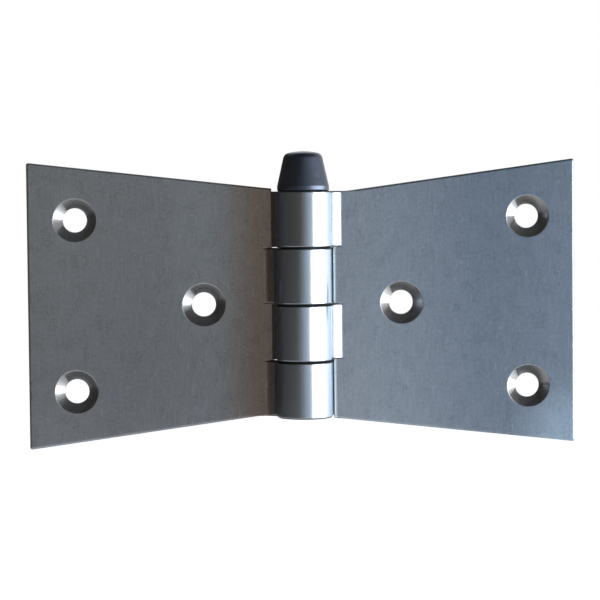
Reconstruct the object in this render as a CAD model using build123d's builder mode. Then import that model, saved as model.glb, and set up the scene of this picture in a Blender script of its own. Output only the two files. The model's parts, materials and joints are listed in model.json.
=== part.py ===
"""Dovetail hinge: two flared steel leaves, rolled into interleaved knuckles round a loose headed pin.

Millimetres. Z runs up the pin, X runs across the opened leaves, and the screws go in from the -Y side.
The origin lies on the pin's axis, level with the lower corners of the leaves.
"""

import os
from math import acos, asin, degrees, isclose, sqrt

from build123d import *

# Leaves
open_width = 100.0  # outer edge to outer edge, with the leaves flat
leaf_outer_height = 52.2  # at the outer edge
lip_overhang = 0.55  # of a notched end, past the end of the barrel
shoulder_run = 0.8  # straight edge between the bend and the flare
sheet = 2.0  # thickness
corner_radius = 0.4  # outer corners
edge_break = 0.35  # rounding along the front of the sheared edges
bend_radius = 2.2  # inside radius of the bend that lifts the sheet to the barrel
seam_gap = 0.4  # from the rolled end to the back of the bend

# Knuckles
barrel_length = 41.0
knuckle_count = 4
knuckle_gap = 0.12  # between neighbouring knuckles
knuckle_edge = 0.22  # chamfer round the ends
notch_clearance = 1.35  # from a knuckle to the coped notch that it turns in

# Screw holes
screw_hole_diameter = 4.4
countersink_diameter = 7.8
countersink_angle = 90
outer_hole_reach = 41.4  # from the pin's axis
outer_hole_spacing = 31.2
inner_hole_reach = 18.1

# Pin
pin_diameter = 6.0
pin_clearance = 0.05  # all round, in the knuckles
pin_recess = 0.5  # from the pin's foot up to the end of the barrel
pin_lead_in = 0.8  # chamfer at the foot
head_diameter = 9.4
head_top_diameter = 6.8
head_height = 7.2
head_band = 0.9  # straight band at the foot of the taper
head_band_chamfer = 0.2
head_crown = 0.5  # rise of the domed top
head_edge_radius = 1.2

# Rolled section, seen along the pin. The sheet's back is level with the back of the barrel.
pin_radius = pin_diameter / 2
bore_radius = pin_radius + pin_clearance
knuckle_radius = bore_radius + sheet
leaf_front = bore_radius
leaf_back = knuckle_radius
outer_edge = open_width / 2
notch_radius = knuckle_radius + notch_clearance
notch_edge = sqrt(notch_radius**2 - leaf_front**2)  # at the front of the sheet
bend_reach = knuckle_radius + bend_radius  # from the pin's axis to the bend's centre
bend_y = leaf_front - bend_radius
bend_x = sqrt(bend_reach**2 - bend_y**2)
flare_start = bend_x + shoulder_run
roll_start = degrees(asin(bend_y / bend_reach))
seam_reach = bend_radius + sheet + seam_gap
seam_cosine = (knuckle_radius**2 + bend_reach**2 - seam_reach**2) / (2 * knuckle_radius * bend_reach)
roll_sweep = 360 - degrees(acos(seam_cosine))

# Heights along the pin
middle = leaf_outer_height / 2
barrel_top = middle + barrel_length / 2
barrel_foot = middle - barrel_length / 2
pin_foot = barrel_foot + pin_recess
head_top = barrel_top + head_height
knuckle_pitch = (barrel_length + knuckle_gap) / knuckle_count
knuckle_length = knuckle_pitch - knuckle_gap

# The face of the leaves that the screws go in from
screw_side = Plane.XZ.shift_origin((0, 0, middle)).offset(-leaf_front)


def knuckle_height(index):
    """Height of the middle of a knuckle, counted from the top."""
    return barrel_top - knuckle_length / 2 - index * knuckle_pitch


with BuildPart() as knuckle:
    # Bend and roll, seen along the pin, from the flat leaf round to the seam at the back
    with BuildSketch(Plane.XY.offset(-knuckle_length / 2)):
        with BuildLine():
            Line((bend_x, leaf_front), (bend_x, leaf_back))
            CenterArc((bend_x, bend_y), bend_radius + sheet, 90, 90 + roll_start)
            inside = CenterArc((0, 0), bore_radius, roll_start, -roll_sweep)
            outside = CenterArc((0, 0), knuckle_radius, roll_start, -roll_sweep)
            Line(inside @ 1, outside @ 1)
            CenterArc((bend_x, bend_y), bend_radius, 180 + roll_start, -90 - roll_start)
        make_face()
    extrude(amount=knuckle_length)

    # Ends broken round the outside
    end_arcs = knuckle.faces().filter_by(Axis.Z).edges().filter_by(GeomType.CIRCLE)
    roll_arcs = end_arcs.filter_by(lambda arc: isclose(arc.radius, knuckle_radius))
    bend_arcs = end_arcs.filter_by(lambda arc: isclose(arc.radius, bend_radius))
    chamfer(roll_arcs + bend_arcs, knuckle_edge)


def make_leaf(first_knuckle):
    """A leaf that reaches along +X and carries every second knuckle, counted from first_knuckle."""
    own_knuckles = range(first_knuckle, knuckle_count, 2)
    other_knuckles = range(1 - first_knuckle, knuckle_count, 2)
    rolled_end = [(notch_edge, barrel_length / 2), (flare_start, barrel_length / 2)]
    notched_end = [(notch_edge, barrel_length / 2 + lip_overhang)]
    corner = (outer_edge, leaf_outer_height / 2)
    upper_outline = [*(rolled_end if 0 in own_knuckles else notched_end), corner]
    lower_outline = [*(rolled_end if knuckle_count - 1 in own_knuckles else notched_end), corner]
    outline_points = upper_outline + [(x, -z) for x, z in reversed(lower_outline)]
    beside_barrel = (Align.MAX, Align.MIN, Align.CENTER)
    with BuildPart() as leaf:
        # Flat sheet with its dovetail outline
        with BuildSketch(screw_side) as outline:
            with BuildLine():
                Polyline(*outline_points, close=True)
            make_face()
            fillet(outline.vertices().group_by(Axis.X)[-1], corner_radius)
        extrude(amount=-sheet)

        # Rounded front of the sheared edges
        front_edges = leaf.edges().filter_by_position(Axis.Y, leaf_front, leaf_front)
        fillet(front_edges.filter_by_position(Axis.X, flare_start, outer_edge), edge_break)

        # Notches for the other leaf's knuckles: coped round each knuckle, and straight beside the gaps,
        # so that the leaves fold back past each other
        for index in other_knuckles:
            with Locations((bend_x, leaf_front, knuckle_height(index))):
                Box(bend_x, sheet, knuckle_length, align=beside_barrel)
            with Locations((0, 0, knuckle_height(index))):
                Cylinder(notch_radius, knuckle_length, mode=Mode.SUBTRACT)

        # Knuckles, each in place of the flat sheet beside it
        for index in own_knuckles:
            with Locations((bend_x, leaf_front, knuckle_height(index))):
                Box(bend_x, sheet, knuckle_length, align=beside_barrel, mode=Mode.SUBTRACT)
            with Locations((0, 0, knuckle_height(index))):
                add(knuckle.part)

        # Countersunk screw holes
        with Locations(screw_side):
            with Locations(
                (outer_hole_reach, outer_hole_spacing / 2),
                (outer_hole_reach, -outer_hole_spacing / 2),
                (inner_hole_reach, 0),
            ):
                CounterSinkHole(
                    screw_hole_diameter / 2,
                    countersink_diameter / 2,
                    counter_sink_angle=countersink_angle,
                )
    return leaf.part


right_blank = make_leaf(first_knuckle=0)
left_blank = make_leaf(first_knuckle=1)

with BuildPart() as right_leaf:
    add(right_blank)

with BuildPart() as left_leaf:
    add(left_blank)
    mirror(about=Plane.YZ, mode=Mode.REPLACE)

with BuildPart() as pin:
    with BuildSketch(Plane.XZ) as half_section:
        with BuildLine():
            shoulder = (head_top_diameter / 2, head_top - head_crown)
            Polyline(
                (0, head_top),
                (0, pin_foot),
                (pin_radius - pin_lead_in, pin_foot),
                (pin_radius, pin_foot + pin_lead_in),
                (pin_radius, barrel_top),
                (head_diameter / 2 - head_band_chamfer, barrel_top),
                (head_diameter / 2, barrel_top + head_band_chamfer),
                (head_diameter / 2, barrel_top + head_band),
                shoulder,
            )
            TangentArc((0, head_top), shoulder, tangent=(1, 0))
        make_face()
        fillet(half_section.vertices().sort_by(Axis.Y)[-2], head_edge_radius)
    revolve(axis=Axis.Z)

right_leaf.part.label = "right_leaf"
left_leaf.part.label = "left_leaf"
pin.part.label = "pin"

os.makedirs("parts", exist_ok=True)
export_step(right_leaf.part, "parts/right_leaf.step")
export_step(left_leaf.part, "parts/left_leaf.step")
export_step(pin.part, "parts/pin.step")
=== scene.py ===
"""Dovetail hinge in plain rolled steel: finishes for the leaves and the pin, a pale floor and soft light.

Metres, in the solids' own frame: Z runs up the pin, X across the leaves, and the screws go in from -Y.
"""

import json
import math
from types import SimpleNamespace

import bpy
from mathutils import Matrix, Vector


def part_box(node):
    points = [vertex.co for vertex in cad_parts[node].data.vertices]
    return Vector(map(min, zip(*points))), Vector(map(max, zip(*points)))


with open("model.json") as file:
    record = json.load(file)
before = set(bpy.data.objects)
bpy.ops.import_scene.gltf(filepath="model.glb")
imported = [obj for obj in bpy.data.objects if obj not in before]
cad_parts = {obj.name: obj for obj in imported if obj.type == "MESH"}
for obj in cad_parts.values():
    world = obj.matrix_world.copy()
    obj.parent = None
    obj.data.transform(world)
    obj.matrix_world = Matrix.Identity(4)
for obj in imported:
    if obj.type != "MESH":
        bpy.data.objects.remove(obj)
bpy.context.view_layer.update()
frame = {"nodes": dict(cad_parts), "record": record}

MM = 0.001

# Sizes read from the solids and their record
mounts = {mount["name"]: mount for mount in frame["record"]["mounts"]}
leaf_low, leaf_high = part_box("right_leaf")
half_width = leaf_high.x
leaf_back = leaf_high.y
knuckle_radius = -leaf_low.x
middle_height = mounts["left_back"]["pos_m"][2]
barrel_middle = Vector((0, 0, middle_height))
outer_hole_reach = mounts["right_screws"]["pos_m"][0]
outer_hole_rise = mounts["right_screws"]["dims"]["spacing_y_mm"] / 2 * MM
inner_hole_reach = mounts["right_inner_screw"]["pos_m"][0]

# Sizes that the record doesn't give
sheet = 2.0 * MM
leaf_front = leaf_back - sheet
countersink_radius = 3.9 * MM
notch_clearance = 1.35 * MM
notch_radius = knuckle_radius + notch_clearance
notch_edge = math.sqrt(notch_radius**2 - leaf_front**2)
bend_radius = 2.2 * MM
bend_x = math.sqrt((knuckle_radius + bend_radius) ** 2 - (leaf_front - bend_radius) ** 2)
bend_edge = math.hypot(bend_x, leaf_front)  # from the pin's axis to where the bend runs into the flat sheet

# Finish of each leaf, with painted light and shade in its tones
left_finish = SimpleNamespace(
    near_tone=(0.155, 0.121, 0.101, 1),  # beside the barrel: the steel's tone, darkened and browned there as painted shade from the barrel
    far_tone=(0.207, 0.223, 0.247, 1),  # past near_reach
    near_reach=19 * MM,  # from the pin's axis
    outer_lift=0.25,  # painted light: how much paler the sheet is painted at its outer edge
    top_lift=0.13,  # painted light and shade: how much paler it is painted at its top, and darker at its foot
    corner_light_share=0.0,  # painted light: how far the lower outer corner is painted paler
    lip_highlight_share=0.0,  # painted highlight: how far the notch lips are painted pale
    bend_fade=1.6 * MM,  # rise over which the bend takes on the barrel's tone
    wall_shade=0.9,  # painted shade: how far the notch walls are painted dark
    upper_lean=0.06,  # sideways lean of the upper knuckle's normals
    lower_lean=0.06,  # the same for the lower knuckle
)
# The right leaf's tones hold painted light and shade too: paler beside the barrel, darker outwards and
# towards the top.
right_finish = SimpleNamespace(
    near_tone=(0.236, 0.262, 0.302, 1),
    far_tone=(0.126, 0.149, 0.183, 1),
    near_reach=40 * MM,
    outer_lift=0.05,
    top_lift=-0.03,
    corner_light_share=1.0,
    lip_highlight_share=0.9,
    bend_fade=0.3 * MM,
    wall_shade=0.5,
    upper_lean=-0.04,
    lower_lean=0.12,
)

# Steel colours that the leaves share, and the pin's
# Painted light: the paler tone of a lower outer corner
corner_light_tone = (0.195, 0.243, 0.296, 1)
barrel_tone = (0.26, 0.29, 0.335, 1)
# Painted highlight on the notch lips
lip_highlight_tone = (0.75, 0.86, 0.93, 1)
countersink_tone = (0.22, 0.22, 0.225, 1)
# Painted shade for the knuckle ends and notch walls
gap_shade_tone = (0.022, 0.02, 0.018, 1)
worn_tone = (0.5, 0.53, 0.56, 1)
pin_tone = (0.06, 0.072, 0.1, 1)

# Extent of the finishes
near_tone_start = 7 * MM  # from the pin's axis
# Painted light on a lower outer corner: how far it reaches, and its full core
corner_light_reach = 14 * MM
corner_light_core = 3 * MM
end_shade_rise = 22 * MM  # from the middle to where top_lift is in full
# The notch lips that take the painted highlight
lip_width = 0.6 * MM
lip_depth = 0.8 * MM
gap_shade_reach = 3 * MM  # from the knuckles to where the painted shade ends
gap_shade_core = 2 * MM

# Strength of the grain, the marks and the wear
leaf_streak_depth = 0.06
leaf_mottle_depth = 0.03
leaf_speckle_depth = 0.06
pin_ring_depth = 0.05
scratch_share = 0.12
speck_share = 0.07
leaf_wear_share = 0.3
pin_wear_share = 0.1

# Roughness
leaf_roughness = (0.27, 0.29)
pin_roughness = (0.28, 0.36)
burnished_share = 0.85  # of the leaf's roughness, left on the barrel and in the countersinks
gap_shade_roughness = 0.5  # added where the knuckle ends and notch walls are painted dark as shade

# Leaned normals
flatter_side = (0.97, 0, -0.22)  # of each countersink, by the way that it faces
flatter_side_lean = (0, -0.935, 0.353)  # the way that its normals lean
seat_flattening = 0.48  # how far they lean
bend_lean = 0.15  # how far the normals of the bends lean sideways

# Camera, from the barrel's middle
camera_offset = Vector((-21.6, -373.6, 18)) * MM
camera_aim = Vector((-0.75, 0, 0.8)) * MM
camera_roll = math.radians(-0.56)
camera_lens = 124.05

# Floor
floor_height = middle_height - 110 * MM
floor_size = Vector((4.0, 4.0, 0))
floor_tone = (0.85, 0.85, 0.85, 1)
floor_glow = 0.68

# Window, from the barrel's middle
window_near = Vector((280, -390, -5)) * MM
window_far = Vector((430, 100, -5)) * MM
window_height = 135 * MM
window_radiance = 13.0
window_colour = (0.93, 0.98, 1.0)

# Side screen, with its plan in millimetres from the pin's axis
screen_plan = [
    (190, -440),
    (20, -480),
    (-100, -465),
    (-200, -400),
    (-330, -200),
    (-370, 50),
    (-280, 330),
    (-80, 480),
]
screen_top = 400 * MM
screen_pale_tone = (0.8, 0.9, 1.0, 1)
screen_near_tone = (0.53, 0.475, 0.41, 1)
screen_far_tone = (0.1, 0.079, 0.056, 1)
screen_pale_reach = 60 * MM  # to the right of the pin's axis, to where the screen is palest
screen_dark_reach = 170 * MM  # to the left of it and behind it, to where the screen is darkest

# Top card, from the barrel's middle
top_card_size = Vector((800, 600, 0)) * MM
top_card_middle = Vector((0, -180, 330)) * MM
top_card_tone = (0.03, 0.03, 0.03, 1)

# Room light
room_glow = (0.38, 0.39, 0.41)


def give(tree, socket, value):
    """Links a socket to another one, or sets its value."""
    if isinstance(value, bpy.types.NodeSocket):
        tree.links.new(value, socket)
    else:
        socket.default_value = value


def add_node(tree, kind, inputs=None, **settings):
    """A new node, with settings by attribute, and inputs by socket name, as values or sockets to link."""
    node = tree.nodes.new(kind)
    for name, value in settings.items():
        setattr(node, name, value)
    for name, value in (inputs or {}).items():
        give(tree, node.inputs[name], value)
    return node


def calculate(tree, operation, first, second=0.0, third=0.0):
    """The result of a Math node."""
    node = add_node(tree, "ShaderNodeMath", {0: first, 1: second, 2: third}, operation=operation)
    return node.outputs[0]


def multiply(tree, first, *others):
    """The product of masks and values."""
    for other in others:
        first = calculate(tree, "MULTIPLY", first, other)
    return first


def between(tree, share, first, second):
    """The value taken from first to second as far as share says."""
    change = calculate(tree, "SUBTRACT", second, first)
    return calculate(tree, "MULTIPLY_ADD", share, change, first)


def combine(tree, operation, first, second=(0, 0, 0)):
    """The vector that a Vector Math node gives."""
    node = add_node(tree, "ShaderNodeVectorMath", {0: first, 1: second}, operation=operation)
    return node.outputs["Vector"]


def measure(tree, operation, first, second=(0, 0, 0)):
    """The number that a Vector Math node gives."""
    node = add_node(tree, "ShaderNodeVectorMath", {0: first, 1: second}, operation=operation)
    return node.outputs["Value"]


def scaled(tree, vector, factor):
    """The vector, times a number."""
    node = add_node(tree, "ShaderNodeVectorMath", {"Vector": vector, "Scale": factor}, operation="SCALE")
    return node.outputs["Vector"]


def split(tree, vector):
    """The vector's X, Y and Z, by name."""
    return add_node(tree, "ShaderNodeSeparateXYZ", {0: vector}).outputs


def ramp(tree, value, start, end, low=0.0, high=1.0):
    """Value taken smoothly from low at start to high at end, and held outside them."""
    node = add_node(
        tree,
        "ShaderNodeMapRange",
        {"Value": value, "From Min": start, "From Max": end, "To Min": low, "To Max": high},
        interpolation_type="SMOOTHSTEP",
    )
    return node.outputs["Result"]


def shade_by(tree, noise_mask, spread, depth):
    """A factor round 1 that goes down and up by depth, over a noise mask's spread round its middle."""
    return ramp(tree, noise_mask, 0.5 - spread, 0.5 + spread, 1.0 - depth, 1.0 + depth)


def blend_colours(tree, share, first, second, how="MIX"):
    """The first colour, covered by the second as far as share says."""
    node = add_node(tree, "ShaderNodeMix", data_type="RGBA", blend_type=how)
    give(tree, node.inputs[0], share)
    give(tree, node.inputs[6], first)
    give(tree, node.inputs[7], second)
    return node.outputs[2]


def in_cells(tree, vector, size):
    """The vector, counted in cells of one size."""
    return scaled(tree, vector, calculate(tree, "DIVIDE", 1.0, size))


def in_long_cells(tree, vector, width, length):
    """The vector, counted in cells that are long in its third axis."""
    cell = add_node(tree, "ShaderNodeCombineXYZ", {"X": width, "Y": width, "Z": length})
    return combine(tree, "DIVIDE", vector, cell.outputs[0])


def noise(tree, vector, detail=2.0, roughness=0.5):
    """Soft noise between 0 and 1, one bump to each unit of the vector."""
    inputs = {"Vector": vector, "Scale": 1.0, "Detail": detail, "Roughness": roughness}
    return add_node(tree, "ShaderNodeTexNoise", inputs).outputs["Fac"]


def leaned(tree, normal, direction, amount):
    """The normal, leaned by an amount towards a direction of the solid's own frame."""
    in_room = add_node(
        tree,
        "ShaderNodeVectorTransform",
        {"Vector": direction},
        vector_type="NORMAL",
        convert_from="OBJECT",
        convert_to="WORLD",
    )
    lean = scaled(tree, in_room.outputs[0], amount)
    return combine(tree, "NORMALIZE", combine(tree, "ADD", normal, lean))


def new_group(name, inputs, outputs):
    """An empty shader group made from (socket type, name) pairs, and the sockets of its two end nodes."""
    group = bpy.data.node_groups.new(name, "ShaderNodeTree")
    for kind, socket in inputs:
        group.interface.new_socket(socket, in_out="INPUT", socket_type=f"NodeSocket{kind}")
    for kind, socket in outputs:
        group.interface.new_socket(socket, in_out="OUTPUT", socket_type=f"NodeSocket{kind}")
    return group, group.nodes.new("NodeGroupInput").outputs, group.nodes.new("NodeGroupOutput").inputs


def place_group(tree, group, inputs):
    """The outputs of a group that is placed in a material with its own values."""
    return add_node(tree, "ShaderNodeGroup", inputs, node_tree=group).outputs


def make_rolled_grain():
    """Streaks along the vector's third axis, cloudy mottling and fine speckle, as on mill-rolled sheet."""
    group, given, result = new_group(
        "rolled_grain",
        [
            ("Vector", "Vector"),
            ("Float", "Streak Width"),
            ("Float", "Streak Length"),
            ("Float", "Mottle Size"),
            ("Float", "Speckle Size"),
        ],
        [("Float", "Streaks"), ("Float", "Mottle"), ("Float", "Speckle")],
    )
    place = given["Vector"]
    streak_place = in_long_cells(group, place, given["Streak Width"], given["Streak Length"])
    mottle_place = in_cells(group, place, given["Mottle Size"])
    speckle_place = in_cells(group, place, given["Speckle Size"])
    group.links.new(noise(group, streak_place, 3.0), result["Streaks"])
    group.links.new(noise(group, mottle_place, 3.0), result["Mottle"])
    group.links.new(noise(group, speckle_place, 1.0), result["Speckle"])
    return group


def make_edge_wear():
    """A mask of the rubbed edges, broken up along them, and a normal that turns softly round them."""
    group, given, result = new_group(
        "edge_wear",
        [("Vector", "Vector"), ("Float", "Width"), ("Float", "Break Size")],
        [("Float", "Worn"), ("Vector", "Rounded Normal")],
    )
    rounded = add_node(group, "ShaderNodeBevel", {"Radius": given["Width"]}, samples=6).outputs[0]
    surface = add_node(group, "ShaderNodeNewGeometry")
    facing = measure(group, "DOT_PRODUCT", rounded, surface.outputs["True Normal"])
    edge = ramp(group, facing, 0.99, 0.85)
    break_place = in_cells(group, given["Vector"], given["Break Size"])
    broken = ramp(group, noise(group, break_place, 3.0, 0.6), 0.45, 0.65)
    group.links.new(multiply(group, edge, broken), result["Worn"])
    group.links.new(rounded, result["Rounded Normal"])
    return group


def make_handling_marks():
    """Fine scratches along the third axis of the vector and small scattered specks."""
    group, given, result = new_group(
        "handling_marks",
        [
            ("Vector", "Vector"),
            ("Float", "Scratch Width"),
            ("Float", "Scratch Length"),
            ("Float", "Speck Spacing"),
        ],
        [("Float", "Scratches"), ("Float", "Specks")],
    )
    place = given["Vector"]
    scratch_place = in_long_cells(group, place, given["Scratch Width"], given["Scratch Length"])
    scratches = ramp(group, noise(group, scratch_place, 1.0), 0.66, 0.8)
    speck_place = in_cells(group, place, given["Speck Spacing"])
    cells = add_node(group, "ShaderNodeTexVoronoi", {"Vector": speck_place, "Scale": 1.0})
    draw = add_node(group, "ShaderNodeSeparateColor", {"Color": cells.outputs["Color"]})
    largest_speck = 0.14  # of a cell
    reach = multiply(group, draw.outputs["Red"], largest_speck)
    specks = ramp(group, calculate(group, "SUBTRACT", cells.outputs["Distance"], reach), 0.03, -0.06)
    group.links.new(scratches, result["Scratches"])
    group.links.new(specks, result["Specks"])
    return group


def make_screw_seats():
    """A mask of the countersinks, and their normals, which the cutter left flatter on one side."""
    group, given, result = new_group(
        "screw_seats",
        [("Vector", "Vector"), ("Vector", "Facing"), ("Vector", "Normal"), ("Float", "Flattening")],
        [("Float", "Seat"), ("Vector", "Seat Normal")],
    )
    from_middle = combine(group, "SUBTRACT", given["Vector"], tuple(barrel_middle))
    flat = combine(group, "MULTIPLY", combine(group, "ABSOLUTE", from_middle), (1, 0, 1))
    outer = measure(group, "DISTANCE", flat, (outer_hole_reach, 0, outer_hole_rise))
    inner = measure(group, "DISTANCE", flat, (inner_hole_reach, 0, 0))
    from_hole = calculate(group, "MINIMUM", outer, inner)
    near_hole = ramp(group, from_hole, countersink_radius + 0.1 * MM, countersink_radius - 0.05 * MM)
    depth = split(group, given["Vector"])["Y"]
    off_back = ramp(group, depth, leaf_back - 0.1 * MM, leaf_back - 0.25 * MM)
    seat = multiply(group, near_hole, off_back)
    sideways = measure(group, "DOT_PRODUCT", given["Facing"], flatter_side)
    flattened = multiply(group, ramp(group, sideways, 0.5, 0.66), given["Flattening"])
    lean = multiply(group, seat, flattened)
    group.links.new(seat, result["Seat"])
    group.links.new(leaned(group, given["Normal"], flatter_side_lean, lean), result["Seat Normal"])
    return group


def make_knuckle_zones():
    """Masks of the burnished barrel, the notch lips that take a painted highlight, and the knuckle ends and
    notch walls that take painted shade.

    The normals lean sideways as on sheet rolled a little out of round, each knuckle's by its own amount.
    """
    group, given, result = new_group(
        "knuckle_zones",
        [
            ("Vector", "Vector"),
            ("Vector", "Facing"),
            ("Vector", "Normal"),
            ("Float", "Bend Fade"),
            ("Float", "Upper Lean"),
            ("Float", "Lower Lean"),
            ("Float", "Wall Shade"),
        ],
        [("Float", "Burnished"), ("Float", "Lip"), ("Float", "Gap Shade"), ("Vector", "Rolled Normal")],
    )
    from_pin = combine(group, "MULTIPLY", given["Vector"], (1, 1, 0))
    reach = measure(group, "LENGTH", from_pin)
    axes = split(group, given["Vector"])
    bend_top = calculate(group, "SUBTRACT", leaf_front, given["Bend Fade"])
    raised = ramp(group, axes["Y"], leaf_front, bend_top)
    rolled = ramp(group, reach, knuckle_radius + 0.4 * MM, knuckle_radius + 0.1 * MM)
    burnished = calculate(group, "MAXIMUM", raised, rolled)

    across = calculate(group, "ABSOLUTE", axes["X"])
    # The notch lips, which take a painted highlight.
    near_notch = ramp(group, across, notch_edge + lip_width, notch_edge)
    near_front = ramp(group, axes["Y"], leaf_front + lip_depth, leaf_front)
    lip = multiply(group, near_notch, near_front, ramp(group, burnished, 0.1, 0.0))

    # Notch walls facing the pin, and knuckle ends, which take painted shade.
    outward = measure(group, "DOT_PRODUCT", combine(group, "NORMALIZE", from_pin), given["Facing"])
    wall = multiply(group, ramp(group, outward, -0.6, -0.85), given["Wall Shade"])
    along = measure(group, "DOT_PRODUCT", combine(group, "ABSOLUTE", given["Facing"]), (0, 0, 1))
    end = ramp(group, along, 0.3, 0.8)
    beside_barrel = ramp(group, reach, knuckle_radius + gap_shade_reach, knuckle_radius + gap_shade_core)
    gap_shade = multiply(group, calculate(group, "MAXIMUM", wall, end), beside_barrel)

    upper = ramp(group, axes["Z"], middle_height - 0.05 * MM, middle_height + 0.05 * MM)
    roll_lean = between(group, upper, given["Lower Lean"], given["Upper Lean"])
    bent = ramp(group, measure(group, "DOT_PRODUCT", given["Facing"], (0, -1, 0)), 0.9995, 0.993)
    beside_roll = ramp(group, reach, bend_edge + 0.1 * MM, bend_edge)
    lean = between(group, rolled, multiply(group, bent, beside_roll, bend_lean), roll_lean)

    group.links.new(burnished, result["Burnished"])
    group.links.new(lip, result["Lip"])
    group.links.new(gap_shade, result["Gap Shade"])
    group.links.new(leaned(group, given["Normal"], (1, 0, 0), lean), result["Rolled Normal"])
    return group


rolled_grain = make_rolled_grain()
edge_wear = make_edge_wear()
handling_marks = make_handling_marks()
screw_seats = make_screw_seats()
knuckle_zones = make_knuckle_zones()


def new_steel(name):
    """An empty material with its Principled shader, and the surface's place and facing in its own frame."""
    material = bpy.data.materials.new(name)
    material.use_nodes = True
    tree = material.node_tree
    shader = tree.nodes["Principled BSDF"]
    surface = tree.nodes.new("ShaderNodeTexCoord")
    return material, tree, shader, surface.outputs["Object"], surface.outputs["Normal"]


def paint_sheet(tree, place, grain, finish):
    """The flat sheet's tone, which changes from the barrel outwards, with its grain, and painted light and
    shade: paler or darker outwards, towards the top and foot, and on a lower corner.
    """
    axes = split(tree, place)
    across = calculate(tree, "ABSOLUTE", axes["X"])
    # From near_tone to far_tone: partly the steel's own tone, partly painted light and shade.
    outward = ramp(tree, across, near_tone_start, finish.near_reach)
    tone = blend_colours(tree, outward, finish.near_tone, finish.far_tone)
    # Painted light: a lower outer corner painted paler.
    from_corner = measure(tree, "DISTANCE", place, (half_width, leaf_front, 0))
    near_corner = ramp(tree, from_corner, corner_light_reach, corner_light_core)
    tone = blend_colours(tree, multiply(tree, near_corner, finish.corner_light_share), tone, corner_light_tone)
    rise = calculate(tree, "SUBTRACT", axes["Z"], middle_height)
    # Painted light and shade: paler outwards, and paler or darker towards the top and foot; then the grain.
    shade = multiply(
        tree,
        ramp(tree, across, half_width / 2, half_width, 1.0, 1.0 + finish.outer_lift),
        ramp(tree, rise, -end_shade_rise, end_shade_rise, 1.0 - finish.top_lift, 1.0 + finish.top_lift),
        shade_by(tree, grain["Streaks"], 0.25, leaf_streak_depth),
        shade_by(tree, grain["Mottle"], 0.2, leaf_mottle_depth),
        shade_by(tree, grain["Speckle"], 0.25, leaf_speckle_depth),
    )
    return blend_colours(tree, 1.0, tone, shade, "MULTIPLY")


def make_leaf_steel(side, finish):
    """Rolled sheet steel, burnished on the barrel, with worn edges and marks, painted light and shade
    across the sheet, painted highlights on the notch lips and a lower corner, and painted shade on the
    knuckle ends and notch walls.
    """
    material, tree, shader, place, facing = new_steel(f"{side}_leaf_rolled_steel")
    grain = place_group(
        tree,
        rolled_grain,
        {
            "Vector": place,
            "Streak Width": 0.3 * MM,
            "Streak Length": 4 * MM,
            "Mottle Size": 3 * MM,
            "Speckle Size": 0.6 * MM,
        },
    )
    wear = place_group(tree, edge_wear, {"Vector": place, "Width": 0.3 * MM, "Break Size": 2.5 * MM})
    marks = place_group(
        tree,
        handling_marks,
        {"Vector": place, "Scratch Width": 0.4 * MM, "Scratch Length": 1.8 * MM, "Speck Spacing": 3.7 * MM},
    )
    zones = place_group(
        tree,
        knuckle_zones,
        {
            "Vector": place,
            "Facing": facing,
            "Normal": wear["Rounded Normal"],
            "Bend Fade": finish.bend_fade,
            "Upper Lean": finish.upper_lean,
            "Lower Lean": finish.lower_lean,
            "Wall Shade": finish.wall_shade,
        },
    )
    seats = place_group(
        tree,
        screw_seats,
        {
            "Vector": place,
            "Facing": facing,
            "Normal": zones["Rolled Normal"],
            "Flattening": seat_flattening,
        },
    )

    tone = paint_sheet(tree, place, grain, finish)
    scratched = multiply(tree, marks["Scratches"], scratch_share)
    specked = multiply(tree, marks["Specks"], speck_share)
    tone = blend_colours(tree, calculate(tree, "MAXIMUM", scratched, specked), tone, worn_tone)
    tone = blend_colours(tree, zones["Burnished"], tone, barrel_tone)
    tone = blend_colours(tree, seats["Seat"], tone, countersink_tone)
    tone = blend_colours(tree, multiply(tree, wear["Worn"], leaf_wear_share), tone, worn_tone)
    # Painted highlight on the notch lips.
    tone = blend_colours(tree, multiply(tree, zones["Lip"], finish.lip_highlight_share), tone, lip_highlight_tone)
    # Painted shade on the knuckle ends and notch walls.
    tone = blend_colours(tree, zones["Gap Shade"], tone, gap_shade_tone)

    flat_roughness = ramp(tree, grain["Mottle"], 0.3, 0.7, *leaf_roughness)
    smooth = calculate(tree, "MAXIMUM", zones["Burnished"], seats["Seat"])
    roughness = multiply(tree, flat_roughness, ramp(tree, smooth, 0.0, 1.0, 1.0, burnished_share))
    # More roughness where the painted shade lies.
    roughness = calculate(tree, "MULTIPLY_ADD", zones["Gap Shade"], gap_shade_roughness, roughness)
    bump = add_node(
        tree,
        "ShaderNodeBump",
        {
            "Strength": 0.1,
            "Distance": 0.02 * MM,
            "Height": grain["Streaks"],
            "Normal": seats["Seat Normal"],
        },
    )
    tree.links.new(tone, shader.inputs["Base Color"])
    tree.links.new(roughness, shader.inputs["Roughness"])
    tree.links.new(bump.outputs[0], shader.inputs["Normal"])
    shader.inputs["Metallic"].default_value = 0.9
    return material


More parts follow.
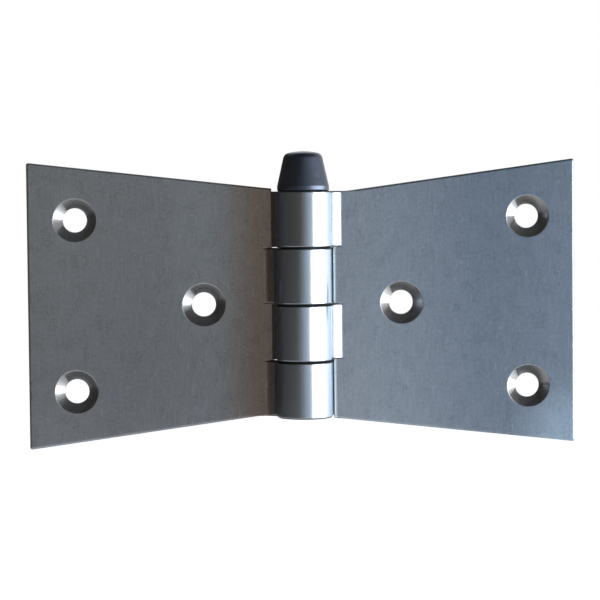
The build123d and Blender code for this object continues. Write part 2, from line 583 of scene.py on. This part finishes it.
def make_pin_steel():
    """Dark turned steel, with faint rings round the head."""
    material, tree, shader, place, _ = new_steel("pin_turned_steel")
    axes = split(tree, place)
    turned = add_node(tree, "ShaderNodeCombineXYZ", {"X": axes["Z"], "Y": axes["Z"], "Z": axes["X"]})
    grain = place_group(
        tree,
        rolled_grain,
        {
            "Vector": turned.outputs[0],
            "Streak Width": 0.25 * MM,
            "Streak Length": 12 * MM,
            "Mottle Size": 2 * MM,
            "Speckle Size": 0.6 * MM,
        },
    )
    wear = place_group(tree, edge_wear, {"Vector": place, "Width": 0.2 * MM, "Break Size": 1.5 * MM})
    rings = shade_by(tree, grain["Streaks"], 0.25, pin_ring_depth)
    tone = blend_colours(tree, 1.0, pin_tone, rings, "MULTIPLY")
    tone = blend_colours(tree, multiply(tree, wear["Worn"], pin_wear_share), tone, worn_tone)
    tree.links.new(tone, shader.inputs["Base Color"])
    tree.links.new(ramp(tree, grain["Mottle"], 0.3, 0.7, *pin_roughness), shader.inputs["Roughness"])
    tree.links.new(wear["Rounded Normal"], shader.inputs["Normal"])
    shader.inputs["Metallic"].default_value = 0.82
    return material


def dress(node, material):
    """Gives a solid its finish."""
    mesh = frame["nodes"][node].data
    mesh.materials.clear()
    mesh.materials.append(material)


def seen_rays(tree):
    """1 for what the camera sees, straight or in metal or glass, and 0 for the light on other surfaces."""
    rays = tree.nodes.new("ShaderNodeLightPath").outputs
    seen = calculate(tree, "MAXIMUM", rays["Is Camera Ray"], rays["Is Glossy Ray"])
    return calculate(tree, "MAXIMUM", seen, rays["Is Transmission Ray"])


def make_board(name, points, faces, tone):
    """A matt board of the studio, which isn't part of the hinge."""
    mesh = bpy.data.meshes.new(name)
    mesh.from_pydata(points, [], faces)
    material = bpy.data.materials.new(name)
    material.use_nodes = True
    shader = material.node_tree.nodes["Principled BSDF"]
    shader.inputs["Base Color"].default_value = tone
    shader.inputs["Roughness"].default_value = 1.0
    mesh.materials.append(material)
    board = bpy.data.objects.new(name, mesh)
    bpy.context.scene.collection.objects.link(board)
    return board, material.node_tree, shader


def make_level_board(name, middle, size, tone):
    """A rectangular board that lies level."""
    signs = ((-1, -1), (1, -1), (1, 1), (-1, 1))
    corners = [middle + Vector((x * size.x / 2, y * size.y / 2, 0)) for x, y in signs]
    return make_board(name, corners, [(0, 1, 2, 3)], tone)


def make_floor():
    """A plain pale floor below the hinge. It takes light and shadow, and its glow brings it up to white."""
    _, tree, shader = make_level_board("pale_floor", Vector((0, 0, floor_height)), floor_size, floor_tone)
    shader.inputs["Emission Color"].default_value = (1, 1, 1, 1)
    tree.links.new(multiply(tree, seen_rays(tree), floor_glow), shader.inputs["Emission Strength"])


def show_in_steel_only(board):
    """Leaves a board to the steel's reflections, so that it neither shows nor shades the floor."""
    board.visible_camera = False
    board.visible_diffuse = False
    board.visible_shadow = False


def make_side_screen():
    """A curved screen from beside the camera round the left, pale at its right end and dark at the back."""
    low = [(x * MM, y * MM, floor_height) for x, y in screen_plan]
    high = [(x * MM, y * MM, screen_top) for x, y in screen_plan]
    count = len(screen_plan)
    panels = [(i, i + 1, count + i + 1, count + i) for i in range(count - 1)]
    screen, tree, shader = make_board("side_screen", low + high, panels, screen_far_tone)
    axes = split(tree, tree.nodes.new("ShaderNodeTexCoord").outputs["Object"])
    leftward = ramp(tree, axes["X"], 0.0, -screen_dark_reach)
    backward = ramp(tree, axes["Y"], 0.0, screen_dark_reach)
    darkened = calculate(tree, "MAXIMUM", leftward, backward)
    tone = blend_colours(tree, darkened, screen_near_tone, screen_far_tone)
    rightward = ramp(tree, axes["X"], 0.0, screen_pale_reach)
    tone = blend_colours(tree, rightward, tone, screen_pale_tone)
    tree.links.new(tone, shader.inputs["Base Color"])
    show_in_steel_only(screen)


def make_top_card():
    """A dark card overhead, which the upper edges reflect."""
    card, _, _ = make_level_board("top_card", barrel_middle + top_card_middle, top_card_size, top_card_tone)
    show_in_steel_only(card)


def make_window():
    """A soft window on the right, turned to the barrel."""
    run = window_far - window_near
    lamp = bpy.data.lights.new("window", "AREA")
    lamp.shape = "RECTANGLE"
    lamp.size = run.length
    lamp.size_y = window_height
    lamp.color = window_colour
    lamp.energy = window_radiance * math.pi * run.length * window_height
    window = bpy.data.objects.new("window", lamp)
    along = run.normalized()
    up = Vector((0, 0, 1))
    turn = Matrix((along, up, along.cross(up))).transposed().to_4x4()
    window.matrix_world = Matrix.Translation(barrel_middle + (window_near + window_far) / 2) @ turn
    window.visible_camera = False
    bpy.context.scene.collection.objects.link(window)


def make_world():
    """A white surround for what the camera and the metal see, and a softer room light for the rest."""
    world = bpy.data.worlds.new("white_room")
    world.use_nodes = True
    bpy.context.scene.world = world
    tree = world.node_tree
    colour = blend_colours(tree, seen_rays(tree), (*room_glow, 1), (1, 1, 1, 1))
    tree.links.new(colour, tree.nodes["Background"].inputs["Color"])


def make_camera():
    """The photograph's viewpoint, close to square on."""
    data = bpy.data.cameras.new("camera")
    data.lens = camera_lens
    camera = bpy.data.objects.new("camera", data)
    bpy.context.scene.collection.objects.link(camera)
    sight = camera_aim - camera_offset
    turn = sight.to_track_quat("-Z", "Y").to_matrix().to_4x4()
    roll = Matrix.Rotation(camera_roll, 4, "Z")
    camera.matrix_world = Matrix.Translation(barrel_middle + camera_offset) @ turn @ roll
    bpy.context.scene.camera = camera


dress("left_leaf", make_leaf_steel("left", left_finish))
dress("right_leaf", make_leaf_steel("right", right_finish))
dress("pin", make_pin_steel())

make_floor()
make_side_screen()
make_top_card()
make_window()
make_world()
make_camera()
bpy.context.scene.view_settings.view_transform = "Standard"
